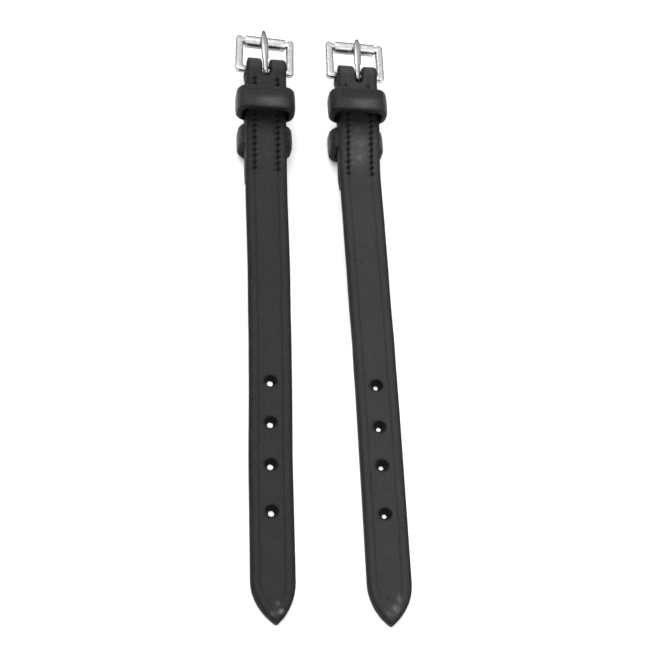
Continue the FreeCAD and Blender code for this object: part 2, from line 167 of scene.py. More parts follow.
def smooth(value, low, high):
    """0 below low and 1 above high, with a smooth step between."""
    part = np.clip((np.asarray(value, float) - low) / (high - low), 0, 1)
    return part * part * (3 - 2 * part)


def bump(value, centre, width):
    """A smooth bell, 1 at its centre."""
    return np.exp(-(((np.asarray(value, float) - centre) / width) ** 2))


class Place:
    """Where a piece's own frame stands in the row frame."""

    def __init__(self, origin, across, forward):
        across = Vector(across).normalized()
        forward = Vector(forward).normalized()
        turn = Matrix((across, forward, across.cross(forward))).transposed()
        self.matrix = Matrix.Translation(origin) @ turn.to_4x4() @ Matrix.Scale(MM, 4)
        self.grid = np.array(self.matrix)

    def row(self, points):
        """Own millimetres to row-frame metres."""
        points = np.asarray(points, float).reshape(-1, 3)
        return points @ self.grid[:3, :3].T + self.grid[:3, 3]

    def box(self, node):
        """A CAD node's lowest and highest corner in this frame's own millimetres."""
        inside = self.matrix.inverted()
        points = np.array([inside @ v.co for v in frame["nodes"][node].data.vertices])
        return points.min(0), points.max(0)


def strap_place(side):
    """Origin on the floor under the buckle's bar, +Y from the farthest hole to the bar."""
    bar = Vector(JOINTS[f"{side}_buckle_swing"]["pos_m"])
    farthest = Vector(MOUNTS[f"{side}_hole_farthest"]["pos_m"])
    forward = (bar - farthest) * Vector((1, 1, 0))
    return Place(bar * Vector((1, 1, 0)), forward.cross(Vector((0, 0, 1))), forward)


def buckle_place(side):
    """Origin on the heel bar's middle, +Y to the roller."""
    swing = JOINTS[f"{side}_buckle_swing"]
    roller = Vector(JOINTS[f"{side}_roller_spin"]["pos_m"])
    bar = Vector(swing["pos_m"])
    return Place(bar, swing["axis"], roller - bar)


def make_object(name, points, faces, attributes=None):
    """A smooth closed mesh from row-frame points, with doubled points joined."""
    mesh = bpy.data.meshes.new(name)
    mesh.from_pydata([tuple(p) for p in points], [], faces)
    for label, values in (attributes or {}).items():
        values = np.asarray(values, np.float32)
        kind, field = ("FLOAT", "value") if values.ndim == 1 else ("FLOAT_VECTOR", "vector")
        layer = mesh.attributes.new(label, kind, "POINT")
        layer.data.foreach_set(field, values.ravel())
    work = bmesh.new()
    work.from_mesh(mesh)
    bmesh.ops.remove_doubles(work, verts=work.verts, dist=1e-7)
    bmesh.ops.dissolve_degenerate(work, edges=work.edges, dist=1e-7)
    bmesh.ops.recalc_face_normals(work, faces=work.faces)
    work.to_mesh(mesh)
    work.free()
    mesh.shade_smooth()
    made = bpy.data.objects.new(name, mesh)
    bpy.context.scene.collection.objects.link(made)
    return made


def loft_faces(count, size, first=0, closed=False):
    """Quads between rings of one size whose points are numbered in order."""
    faces = []
    for ring in range(count if closed else count - 1):
        here = first + ring * size
        there = first + (ring + 1) % count * size
        for i in range(size):
            j = (i + 1) % size
            faces.append((here + i, here + j, there + j, there + i))
    return faces


def rounded_outline(half, low, high, low_radius, high_radius, steps, straight):
    """Points round a box about the Y axis, anticlockwise from the middle of its low side."""
    corners = (
        (half - low_radius, low + low_radius, low_radius, -90),
        (half - high_radius, high - high_radius, high_radius, 0),
        (high_radius - half, high - high_radius, high_radius, 90),
        (low_radius - half, low + low_radius, low_radius, 180),
    )
    runs = []
    for x, y, radius, start in corners:
        arc = []
        for step in range(steps + 1):
            angle = math.radians(start + 90 * step / steps)
            arc.append((x + radius * math.cos(angle), y + radius * math.sin(angle)))
        runs.append(arc)
    points = []
    last = (0.0, low)
    for arc in runs + [[(0.0, low)]]:
        for step in range(straight):
            part = step / straight
            points.append(
                (last[0] + (arc[0][0] - last[0]) * part, last[1] + (arc[0][1] - last[1]) * part)
            )
        points += arc[:-1]
        last = arc[-1]
    return np.array(points)


class Spine:
    """The strap's middle line seen from the side, by distance from the tip."""

    STEP = 0.05

    def __init__(self, side, place):
        low, high = place.box(f"{side}_strap")
        self.side = side
        self.place = place
        self.half = (high[0] - low[0]) / 2
        self.thick = MOUNTS[f"{side}_hole_nearest"]["dims"]["length_mm"]
        self.length_flat = -low[1] - FLAT_END
        self.tip = -low[1]
        bar = JOINTS[f"{side}_buckle_swing"]["pos_m"][2] / MM
        layer = (self.thick + LAYER_GAP) / 2
        fold = FOLD_INSIDE + self.thick / 2
        reach = fold + FOLD_NECK
        neck_back = math.sqrt(reach**2 - (layer + FOLD_NECK) ** 2)
        open_angle = math.atan2(layer + FOLD_NECK, -neck_back)
        rise = bar + layer - self.thick / 2
        run = FLAT_END - LEVEL_END
        slope = 2 * math.atan2(rise, run)
        bend = run / (2 * math.sin(slope))
        neck_turn = open_angle - math.pi / 2
        runs = (
            (self.length_flat, 0.0),
            (bend * slope, slope),
            (bend * slope, -slope),
            (LEVEL_END - neck_back, 0.0),
            (FOLD_NECK * neck_turn, neck_turn),
            (fold * open_angle * 2, -open_angle * 2),
            (FOLD_NECK * neck_turn, neck_turn),
            (TURN_BACK - neck_back, 0.0),
        )
        self.level = sum(length for length, _ in runs[:3])
        self.neck = self.level + runs[3][0]
        self.front = self.neck + runs[4][0] + runs[5][0] / 2
        self.back = self.neck + runs[4][0] + runs[5][0] + runs[6][0]
        self.end = self.back + runs[7][0]
        self.neck_back = neck_back
        self.trace(runs)
        front = self.place.box(f"{side}_front_keeper")
        rear = self.place.box(f"{side}_rear_keeper")
        self.held = (front[1][1], rear[0][1])  # where keeper roots hold the layers apart
        places, aways = zip(*SWAY[side].items())
        self.sway_at = np.arange(-SWAY_SOFTEN, places[-1] + SWAY_SOFTEN, 0.5)
        window = np.hanning(round(SWAY_SOFTEN / 0.5) + 1)
        straight = np.interp(self.sway_at, places, aways)
        self.sways = np.convolve(straight, window / window.sum(), "same")

    def trace(self, runs):
        """Walk the line through runs of (length, turn), all arcs or straights."""
        y, z, heading, distance = -self.tip, self.thick / 2, 0.0, 0.0
        stations = [(distance, y, z, heading)]
        for length, turn in runs:
            steps = max(1, math.ceil(length / self.STEP))
            for _ in range(steps):
                middle = heading + turn / steps / 2
                y += math.cos(middle) * length / steps
                z += math.sin(middle) * length / steps
                heading += turn / steps
                distance += length / steps
                stations.append((distance, y, z, heading))
        self.stations = np.array(stations).T

    def upper(self, y):
        """Distance from the tip of a place on the upper layer."""
        return self.level + y + LEVEL_END

    def lower(self, y):
        """Distance from the tip of a place on the turned-back layer."""
        return self.back - self.neck_back - y

    def sway(self, y):
        """How far the line lies to +X of straight, which fades at the fold and the tip."""
        away = np.interp(-np.asarray(y, float), self.sway_at, self.sways)
        return away * smooth(-y, 1, 14) * smooth(y + self.tip, 0, 8)

    def closing(self, s, y):
        """How far the turned-back layer is drawn up where no keeper holds it off."""
        front, rear = self.held
        drawn = smooth(-y, 0.5, 5.0) * smooth(y, front + 0.2, front + 2.6)
        drawn = drawn + smooth(-y, 0.3 - rear, 3.0 - rear)
        return LAYER_GAP * drawn * (s > self.front)

    def bend(self, s, u, n):
        """Row-frame points from distances along and across and heights off the middle line."""
        s, u, n = np.broadcast_arrays(*(np.asarray(a, float) for a in (s, u, n)))
        along, ys, zs, headings = self.stations
        y = np.interp(s, along, ys)
        z = np.interp(s, along, zs)
        heading = np.interp(s, along, headings)
        x = u + POINT_SHIFT[self.side] * (1 - smooth_square(s)) + self.sway(y)
        z = z + self.closing(s, y)
        points = np.stack([x, y - n * np.sin(heading), z + n * np.cos(heading)], -1)
        return self.place.row(points)


def smooth_square(s):
    """1 beyond the point, falling to 0 at the tip as its two arcs do."""
    short = np.clip(POINT_LENGTH - np.asarray(s, float), 0, POINT_LENGTH) / POINT_LENGTH
    return 1 - short**2


def stations_between(marks, steps):
    """Places from the first mark to the last, with even steps inside each stretch."""
    places = [marks[0]]
    for start, end, step in zip(marks, marks[1:], steps):
        count = max(1, round((end - start) / step))
        places += [start + (end - start) * (i + 1) / count for i in range(count)]
    return places


class StrapMesh:
    """One strip of leather: a plan of rows and columns, opened at its holes and slot."""

    def __init__(self, spine):
        self.spine = spine
        self.s, self.u, self.n = [], [], []
        self.edge, self.press = [], []
        self.faces = []
        self.columns = self.edge_columns()
        self.rows = self.outline_rows()
        self.stitches = [-(STITCH_FIRST + (i - 1) * STITCH_PITCH) for i in range(STITCH_COUNT + 1)]

    def edge_columns(self):
        """(distance from the edge, height as a part of half the thickness) for half a row."""
        half_thick = self.spine.thick / 2
        flat = half_thick - EDGE_ROUND
        columns = []
        for step in range(6):
            angle = math.radians(18 * step)
            height = (flat + EDGE_ROUND * math.sin(angle)) / half_thick
            columns.append((EDGE_ROUND * (1 - math.cos(angle)), height))
        for from_crease in (-1.65, -1.3, -0.9, -0.6, -0.35, -0.2, -0.1, 0, 0.1, 0.2, 0.35, 0.55):
            columns.append((CREASE_INSET + from_crease, 1.0))
        self.patch_column = len(columns)
        for across in (PATCH_HALF, 2.4, 1.9, 1.45, 0.95, 0.5, 0.0):
            columns.append((self.spine.half - across, 1.0))
        return columns

    def outline_rows(self):
        """(edge point, inward direction, distance to the middle line) for each row."""
        half = self.spine.half
        radius = (half**2 + POINT_LENGTH**2) / (2 * half)
        arc_u = half - radius
        tip_s = POINT_LENGTH - math.sqrt((radius - TIP_RADIUS) ** 2 - arc_u**2)
        meet = math.acos(-arc_u / (radius - TIP_RADIUS))
        rows = []
        for step in range(9):
            angle = math.pi / 2 + (meet - math.pi / 2) * step / 8
            edge = (tip_s - TIP_RADIUS * math.sin(angle), TIP_RADIUS * math.cos(angle))
            rows.append((edge, (math.sin(angle), -math.cos(angle)), TIP_RADIUS))
        for step in range(1, 25):
            angle = meet * (1 - step / 24)
            edge = (POINT_LENGTH - radius * math.sin(angle), arc_u + radius * math.cos(angle))
            inward = (math.sin(angle), -math.cos(angle))
            rows.append((edge, inward, radius + arc_u / math.cos(angle)))
        self.straight_row = len(rows)
        for s in self.straight_stations():
            rows.append(((s, half), (0.0, -1.0), half))
        return rows

    def straight_stations(self):
        """Distances from the tip of the rows behind the point, closer where there is detail."""
        spine = self.spine
        marks, steps = [POINT_LENGTH], []
        self.holes = []
        for name in reversed(HOLES):
            where = Vector(MOUNTS[f"{spine.side}_{name}"]["pos_m"])
            centre = spine.tip + (spine.place.matrix.inverted() @ where).y
            self.holes.append(centre)
            marks += [centre - PATCH_HALF, centre + PATCH_HALF]
            steps += [1.1, PATCH_HALF / 6]
        opened = -SLOT_END[spine.side] - SLOT_MARGIN
        fold = (spine.upper(opened), spine.lower(opened))
        marks += [spine.level, spine.upper(-SEWN_END), fold[0], fold[1]]
        steps += [1.2, 1.0, STITCH_PITCH / 8, 0.34]
        marks += [spine.end - SKIVE_LENGTH, spine.end - SKIVE_NOSE]
        steps += [STITCH_PITCH / 8, 0.5]
        stations = stations_between(marks, steps)
        for angle in (15, 35, 55, 90):
            stations.append(spine.end - SKIVE_NOSE * (1 - math.sin(math.radians(angle))))
        self.fold = fold
        return stations[1:]

    def narrowing(self, s):
        """How much the sides are drawn in at the front of the fold."""
        return FOLD_NARROWING * bump(s, self.spine.front, 2.3)

    def relief(self, s, u, away):
        """How far the grain side stands off its flat: creases, the bead outside them, stitches; and how much shade
        is painted into the creases and stitch dimples.
        """
        spine = self.spine
        fade = 1 - smooth(s, self.fold[0] + 0.5, self.fold[0] + 2.5)
        fade = fade + smooth(s, self.fold[1] - 2.5, self.fold[1] - 0.5)
        fade = fade * (0.35 + 0.65 * smooth(s, 2.0, 15.0))
        crease = bump(away, CREASE_INSET, CREASE_WIDTH) * fade
        bead = np.sin(np.pi * np.clip(away / CREASE_INSET, 0, 1)) * 0.02
        along, ys = spine.stations[:2]
        y = np.interp(s, along, ys)
        sewn = smooth(-y, 3.4, 4.6) * smooth(y, self.stitches[-1] - 1.2, self.stitches[-1])
        sewn = sewn * ((s > spine.level) & ((s < self.fold[0]) | (s > self.fold[1])))
        pull = bump(np.abs(u), STITCH_ROW, 0.8) * sewn * 0.16
        phase = (-y - STITCH_FIRST) / STITCH_PITCH
        phase = phase - np.round(phase)
        lean = (np.abs(u) - STITCH_ROW) * 0.55 * np.sign(u)
        dimple = bump(phase * STITCH_PITCH + lean, 0, 0.46)
        dimple = dimple * bump(np.abs(u), STITCH_ROW, 0.62) * sewn
        # painted shade: how dark the creases and stitch dimples are painted
        groove_shade = np.clip(crease * 0.3 * (1 - sewn * 0.6) + dimple, 0, 1)
        return bead - crease * CREASE_DEPTH * (1 - sewn * 0.7) - pull - dimple * 0.9, groove_shade

    def faces_of(self, s):
        """Heights of the grain side and the flesh side, which meet at the thinned end."""
        spine = self.spine
        grain, flesh = spine.thick / 2, -spine.thick / 2
        thin = np.clip((s - (spine.end - SKIVE_LENGTH)) / SKIVE_LENGTH, 0, 1)
        grain = grain + thin * (flesh + SKIVE_EDGE - grain)
        grain = grain - FOLD_THIN[spine.side] * bump(s, spine.front, 3.2)
        nose = np.clip((spine.end - s) / SKIVE_NOSE, 0, 1)
        return grain, flesh, np.sqrt(np.clip(1 - (1 - nose) ** 2, 0, 1))

    def add(self, s, u, height, away, grain_side):
        """One point on the grain side, or on the flesh side, at a part of its height."""
        grain, flesh, nose = self.faces_of(s)
        middle = (grain + flesh) / 2
        if grain_side:
            lift, groove_shade = self.relief(s, u, away)
            n = middle + (grain - middle) * height * nose + lift * min(1.0, height) ** 4 * nose
        else:
            groove_shade = 0.0
            n = middle + (flesh - middle) * height * nose
        u = u * (1 - self.narrowing(s) / self.spine.half)
        self.s.append(float(s))
        self.u.append(float(u))
        self.n.append(float(n))
        self.edge.append(float(1 - smooth(away, 0.5, 1.5)))
        self.press.append(float(groove_shade))
        return len(self.s) - 1

    def opened(self, row, column, border):
        """Whether a point falls in an opened block, or a quad does where border is 0."""
        for i0, i1, k0, k1 in self.blocks:
            if i0 + border <= row < i1 and k0 + border <= column < k1:
                return True
        return False

    def plan(self, row, column):
        """Plan point and distance from the edge of a row and a column across both halves."""
        (s, u), (inward_s, inward_u), reach = self.rows[row]
        last = len(self.columns) - 1
        index = min(column, 2 * last - column)
        away = min(self.columns[index][0], reach * (1 - (last - index) * 0.02))
        sign = -1 if column <= last else 1
        return s + inward_s * away, sign * (u + inward_u * away), away, self.columns[index][1]

    def nearest_row(self, s):
        """The row behind the point that lies nearest to a distance from the tip."""
        straight = range(self.straight_row, len(self.rows))
        return min(straight, key=lambda row: abs(self.rows[row][0][0] - s))

    def build(self):
        """The mesh's points in the row frame, its faces and its attributes."""
        last = len(self.columns) - 1
        k0, k1 = self.patch_column, 2 * last - self.patch_column
        spans = [(hole - PATCH_HALF, hole + PATCH_HALF) for hole in self.holes] + [self.fold]
        self.blocks = [(self.nearest_row(a), self.nearest_row(b), k0, k1) for a, b in spans]
        count, width = len(self.rows), 2 * last + 1
        index = {}
        for grain_side in (True, False):
            for row in range(count):
                for column in range(width):
                    if not self.opened(row, column, 1):
                        s, u, away, height = self.plan(row, column)
                        index[grain_side, row, column] = self.add(s, u, height, away, grain_side)
            for row in range(count - 1):
                for column in range(width - 1):
                    if not self.opened(row, column, 0):
                        here = [index[grain_side, row, column + k] for k in (0, 1)]
                        there = [index[grain_side, row + 1, column + k] for k in (1, 0)]
                        self.faces.append((*here, *there))
        for column in (0, width - 1):
            walls = []
            for row in range(count):
                s, u, away, _ = self.plan(row, column)
                walls.append(self.add(s, u, 0.0, away, True))
            for row in range(count - 1):
                for grain_side in (True, False):
                    a, b = index[grain_side, row, column], index[grain_side, row + 1, column]
                    self.faces.append((a, b, walls[row + 1], walls[row]))
        bore = MOUNTS[f"{self.spine.side}_hole_nearest"]["dims"]["r_mm"]
        taper = HOLE_TAPER[self.spine.side]
        for block, hole in zip(self.blocks, self.holes):
            self.open_block(block, index, (hole, hole), lambda s: bore, HOLE_RIM, taper)
        self.open_slot(self.blocks[-1], index)
        points = self.spine.bend(self.s, self.u, self.n)
        lay = np.stack([self.u, self.s, self.n], -1)
        return points, self.faces, {"edge": self.edge, "press": self.press, "lay": lay}

    def open_slot(self, block, index):
        """The tongue's slot, which is widest at the front of the fold."""
        narrow, wide = SLOT_SHAPE[self.spine.side]
        start = self.spine.upper(-SLOT_END[self.spine.side]) + narrow
        end = self.spine.lower(-SLOT_END[self.spine.side]) - narrow
        middle = (start + end) / 2

        def half_width(s):
            return narrow + (wide - narrow) * bump(s, middle, (end - start) * 0.36)

        shift = SLOT_SHIFT[self.spine.side]
        self.open_block(block, index, (start, end), half_width, SLOT_RIM, 1.0, shift)

    def open_block(self, block, index, centres, radius, rim, taper, shift=0.0):
        """Rings from a block's border to the opening in it, and through it.

        The opening is round where its two end centres are one, and long where they aren't.
        """
        i0, i1, k0, k1 = block
        border = [(i0, k) for k in range(k0, k1)] + [(i, k1) for i in range(i0, i1)]
        border += [(i1, k) for k in range(k1, k0, -1)] + [(i, k0) for i in range(i1, i0, -1)]
        spokes = []
        for row, column in border:
            s, u = self.plan(row, column)[:2]
            centre = min(max(s, centres[0]), centres[1])
            reach = math.hypot(s - centre, u - shift)
            along, across = (s - centre) / reach, (u - shift) / reach
            spokes.append([centre, along, across, reach, radius(centre)])
        angles = [math.radians(a) for a in (0, 25, 50, 72, 90)]
        rings = []
        for grain_side in (True, False):
            if not grain_side:
                wall = self.ring(spokes, 1, 0, None, rim, True, shift)
                for spoke in spokes:
                    spoke[4] *= taper
            side_rings = [[index[grain_side, r, c] for r, c in border]]
            for part in (0.3, 0.6, 0.85):
                side_rings.append(self.ring(spokes, part, 0, 0, rim, grain_side, shift))
            for angle in angles:
                out, down = 1 - math.sin(angle), 1 - math.cos(angle)
                side_rings.append(self.ring(spokes, 1, out, down, rim, grain_side, shift))
            rings.append(side_rings)
        ladder = rings[0] + [wall] + rings[1][::-1]
        size = len(border)
        for first, second in zip(ladder, ladder[1:]):
            for i in range(size):
                j = (i + 1) % size
                self.faces.append((first[i], first[j], second[j], second[i]))

    def ring(self, spokes, part, out, down, rim, grain_side, shift):
        """One ring of an opening: part of the way in, then round its rim, then down its wall."""
        made = []
        for centre, along, across, reach, radius in spokes:
            inner = radius + rim * (out if part == 1 else 1)
            distance = reach + (inner - reach) * part if part < 1 else inner
            s, u = centre + along * distance, shift + across * distance
            from_wall = distance - radius
            height = 0.0 if down is None else 1.0
            point = self.add(s, u, height, self.spine.half - abs(u), grain_side)
            if down is not None:
                dish = 0.16 * float(bump(from_wall, 0, 0.8)) + (rim * down if part == 1 else 0)
                self.n[point] += -dish if grain_side else dish * 0.6
            self.edge[point] = max(self.edge[point], float(1 - smooth(from_wall, 0.15, 0.75)))
            made.append(point)
        return made


def build_stitches(mesh, name, row, rng):
    """One row of slanted two-ply stitches on both faces, each dipping into its holes."""
    spine = mesh.spine
    around, along = 12, 15
    stations, acrosses, heights, faces, twist = [], [], [], [], []
    for layer in (spine.upper, spine.lower):
        for start, end in zip(mesh.stitches, mesh.stitches[1:]):
            base = len(stations)
            lean = STITCH_SLANT * rng.uniform(0.8, 1.2)
            sag = rng.uniform(-0.05, 0.03)
            shift = rng.uniform(-0.07, 0.07)
            for i in range(along):
                part = i / (along - 1)
                y = start + (end - start) * (0.08 + 0.84 * part)
                u = row + shift + lean * (0.5 - part)
                arch = math.sin(math.pi * part) ** 0.5
                centre = spine.thick / 2 - 0.85 + (0.7 + sag) * arch
                for j in range(around):
                    angle = 2 * math.pi * j / around
                    ply = 1 + 0.2 * math.cos(2 * (angle - part * 5.0))
                    radius = THREAD_RADIUS * ply * (0.5 + 0.5 * math.sin(math.pi * part) ** 0.5)
                    stations.append(layer(y))
                    acrosses.append(u + radius * math.cos(angle))
                    heights.append(centre + radius * math.sin(angle))
                    twist.append((angle, part, 0.0))
            faces += loft_faces(along, around, base)
            faces.append(tuple(range(base, base + around)))
            faces.append(tuple(range(base + (along - 1) * around, base + along * around)))
    points = spine.bend(stations, acrosses, heights)
    return make_object(name, points, faces, {"lay": twist})


def build_keeper(side, which, place, spine):
    """A leather loop: a band with rounded edges that thins where it runs between the layers."""
    low, high = place.box(f"{side}_{which}_keeper")
    above = which == "front"
    bar = JOINTS[f"{side}_buckle_swing"]["pos_m"][2] / MM
    half = (high[0] - low[0]) / 2
    back, front = low[1], high[1]
    if above:
        back, front = back - FRONT_SPREAD[0], front + FRONT_SPREAD[1]
    else:
        half -= REAR_SQUEEZE
    flat, centre_y = (front - back) / 2, (back + front) / 2
    root = LAYER_GAP / 2
    crown = (high[2] - bar) if above else (bar - low[2])
    outer = rounded_outline(half, -root, crown, *KEEPER_OUTER_CORNERS, 14, 14)
    inner_half, inner_crown = half - KEEPER_WALL, crown - KEEPER_WALL
    inner = rounded_outline(inner_half, root, inner_crown, *KEEPER_INNER_CORNERS, 14, 14)
    profile = []
    corner = KEEPER_EDGE
    steps = np.linspace(-1, 1, 17)
    # across the outside, round the edge, back across the inside, round the other edge
    for v in steps:
        profile.append((v * (flat - corner), 1.0))
    for angle in (60, 30, 0, -30, -60):
        a = math.radians(angle)
        profile.append((flat - corner + corner * math.cos(a), 0.5 + 0.5 * math.sin(a)))
    for v in steps[::-2]:
        profile.append((v * (flat - corner), 0.0))
    for angle in (-60, -30, 0, 30, 60):
        a = math.radians(angle)
        profile.append((-(flat - corner + corner * math.cos(a)), 0.5 + 0.5 * math.sin(a)))
    points, lay, edge, scuff = [], [], [], []
    travelled = 0.0
    for i in range(len(outer)):
        if i:
            travelled += float(np.hypot(*(outer[i] - outer[i - 1])))
        lift = (outer[i][1] + root) / (crown + root)
        for v, w in profile:
            x, z = inner[i] + (outer[i] - inner[i]) * w
            hem = abs(v) / flat
            shrink = 0.3 * hem**6 * (0.4 + 0.6 * abs(x) / half)
            x *= 1 - shrink / half * (1.6 if lift > 0.02 else 0)
            z -= (0.12 * hem**4 + 0.2 * (x / half) ** 4) * lift
            groove = 0.1 * float(bump(abs(v), flat - 1.5, 0.35)) if w == 1.0 else 0.0
            x *= 1 - groove / half
            z -= groove * lift
            pinch = 1 - FRONT_PINCH * (1 - float(smooth(lift, 0.05, 0.6))) * above
            points.append((x, centre_y + v * pinch, bar + z if above else bar - z))
            lay.append((travelled, v, w * 2))
            edge.append(float(smooth(hem, 0.86, 0.98)))
            # painted highlight: a lighter patch on the keeper's crown
            crown_sheen = bump(x / half, 0.1, 0.42) * bump(v, -1.9, 1.6) * smooth(lift, 0.6, 0.9)
            scuff.append(float(crown_sheen) * (w > 0.8))
    faces = loft_faces(len(outer), len(profile), closed=True)
    row = place.row(points)
    sway = spine.sway(np.array([centre_y]))[0] + KEEPER_SLIP[f"{side}_{which}"]
    row = row + np.array(place.matrix.to_3x3().col[0]) * sway
    attributes = {"lay": lay, "edge": edge, "scuff": scuff}
    return make_object(f"{side}_{which}_keeper_loop", row, faces, attributes)


def build_frame(side, place):
    """The buckle's frame: flattened legs and round bars with full corners."""
    high = place.box(f"{side}_buckle_frame")[1]
    roller_low, roller_high = place.box(f"{side}_buckle_roller")
    spacing = (roller_low[1] + roller_high[1]) / 2
    radius = WIRE / 2
    inside = high[0] - LEG_WIDTH
    outer = rounded_outline(high[0], -radius, high[1], FRAME_CORNER, FRAME_CORNER, 10, 12)
    inner = rounded_outline(inside, radius, spacing - radius, *WINDOW_CORNERS, 10, 12)
    # the front bar lies a little behind the rounded ends of the legs
    on_bar = 1 - smooth(np.abs(outer[:, 0]), inside - 0.2, inside + 0.5)
    on_bar = on_bar * (outer[:, 1] > spacing)
    outer[:, 1] -= on_bar * (high[1] - spacing - radius)
    around = 28
    points, lay = [], []
    for i, (out, into) in enumerate(zip(outer, inner)):
        middle = (out + into) / 2
        legness = float(smooth(abs(middle[0]), inside - 0.2, inside + 0.8))
        power = 1 - LEG_FLATNESS * legness
        tall = radius + 0.05 * legness
        for j in range(around):
            angle = 2 * math.pi * j / around
            cos, sin = math.cos(angle), math.sin(angle)
            w = 0.5 + 0.5 * math.copysign(abs(cos) ** power, cos)
            x, y = into + (out - into) * w
            x += BUCKLE_SLIDE[side]
            points.append((x, y, tall * math.copysign(abs(sin) ** power, sin)))
            lay.append((i * 0.5, math.cos(angle), math.sin(angle)))
    faces = loft_faces(len(outer), around, closed=True)
    return make_object(f"{side}_buckle_loop", place.row(points), faces, {"lay": lay})


def build_roller(side, place):
    """The roller: sheet steel rolled into a tube, with a fine seam and rounded ends."""
    low, high = place.box(f"{side}_buckle_roller")
    radius = (high[2] - low[2]) / 2
    centre = (low[1] + high[1]) / 2
    half = (high[0] - low[0]) / 2
    turns = 72
    ends = [(0.0, 0.24), (0.03, 0.12), (0.12, 0.03), (0.24, 0.0)]
    stations = [(half - inset, shrink) for inset, shrink in ends]
    stations += [(half * part, 0.0) for part in (0.75, 0.5, 0.25, 0.0)]
    stations += [(-x, shrink) for x, shrink in stations[-2::-1]]
    start, sweep = ROLLER_SEAM - math.pi / 2, 2 * math.pi - 2 * ROLLER_SEAM
    angles = [start + sweep * i / turns for i in range(turns + 1)]
    points, lay = [], []
    for x, shrink in stations:
        loop = [(radius - shrink, a) for a in angles]
        loop += [(ROLLER_BORE + shrink * 0.5, a) for a in angles[::-1]]
        for r, a in loop:
            points.append((x + BUCKLE_SLIDE[side], centre + r * math.cos(a), r * math.sin(a)))
            lay.append((x, math.cos(a), math.sin(a)))
    size = 2 * len(angles)
    faces = loft_faces(len(stations), size)
    for base in (0, (len(stations) - 1) * size):
        for i in range(len(angles) - 1):
            faces.append((base + i, base + i + 1, base + size - 2 - i, base + size - 1 - i))
    return make_object(f"{side}_roller_tube", place.row(points), faces, {"lay": lay})


def build_tongue(side, place):
    """The tongue: flattened wire closed round the heel bar, broad on its arm, worn at its tip."""
    tip = place.box(f"{side}_buckle_tongue")[1][1] + TONGUE_REACH[side]
    roller_low, roller_high = place.box(f"{side}_buckle_roller")
    seat_y = (roller_low[1] + roller_high[1]) / 2
    seat_z = (roller_high[2] - roller_low[2]) / 2 + TONGUE_GAP
    eye = TONGUE_EYE
    centreline = []  # y, z, width, thickness
    for step in range(25):
        part = step / 24
        angle = math.radians(-40 - 230 * part)
        thick = 0.72 + 0.18 * part
        bend = eye + thick / 2
        width = 1.25 + 0.3 * part
        centreline.append((bend * math.cos(angle), bend * math.sin(angle), width, thick))
    for step in range(1, 33):
        part = step / 32
        y = tip * part
        thick = 0.9 + 0.35 * float(smooth(y, 1.5, 5.0))
        thick -= 0.55 * float(smooth(y, seat_y - 0.5, tip))
        top = eye + 0.9 + (seat_z + 1.25 - eye - 0.9) * float(smooth(y, -1.0, seat_y - 1.5))
        top -= 0.5 * float(smooth(y, seat_y - 0.2, tip + 1.2))
        width = 1.55 + 0.8 * float(smooth(y, 3.2, 4.3))
        width -= 1.1 * float(smooth(y, seat_y - 1.2, tip + 0.3))
        centreline.append((y, top - thick / 2, width, thick))
    around = 24
    points, lay = [], []
    for i, (y, z, width, thick) in enumerate(centreline):
        before = centreline[max(0, i - 1)]
        after = centreline[min(len(centreline) - 1, i + 1)]
        heading = math.atan2(after[1] - before[1], after[0] - before[0])
        ends = min(i, len(centreline) - 1 - i)
        shrink = (0.55, 0.85, 1.0)[min(ends, 2)]
        for j in range(around):
            angle = 2 * math.pi * j / around
            cos, sin = math.cos(angle), math.sin(angle)
            x = width / 2 * shrink * math.copysign(abs(cos) ** 0.75, cos)
            n = thick / 2 * shrink * math.copysign(abs(sin) ** 0.85, sin)
            x += TONGUE_SLIDE[side] + TONGUE_LEAN[side] * y
            points.append((x, y - n * math.sin(heading), z + n * math.cos(heading)))
            lay.append((i * 0.3, cos, sin))
    count = len(centreline)
    faces = loft_faces(count, around)
    faces += [tuple(range(around)), tuple(range((count - 1) * around, count * around))]
    return make_object(f"{side}_tongue_pin", place.row(points), faces, {"lay": lay})


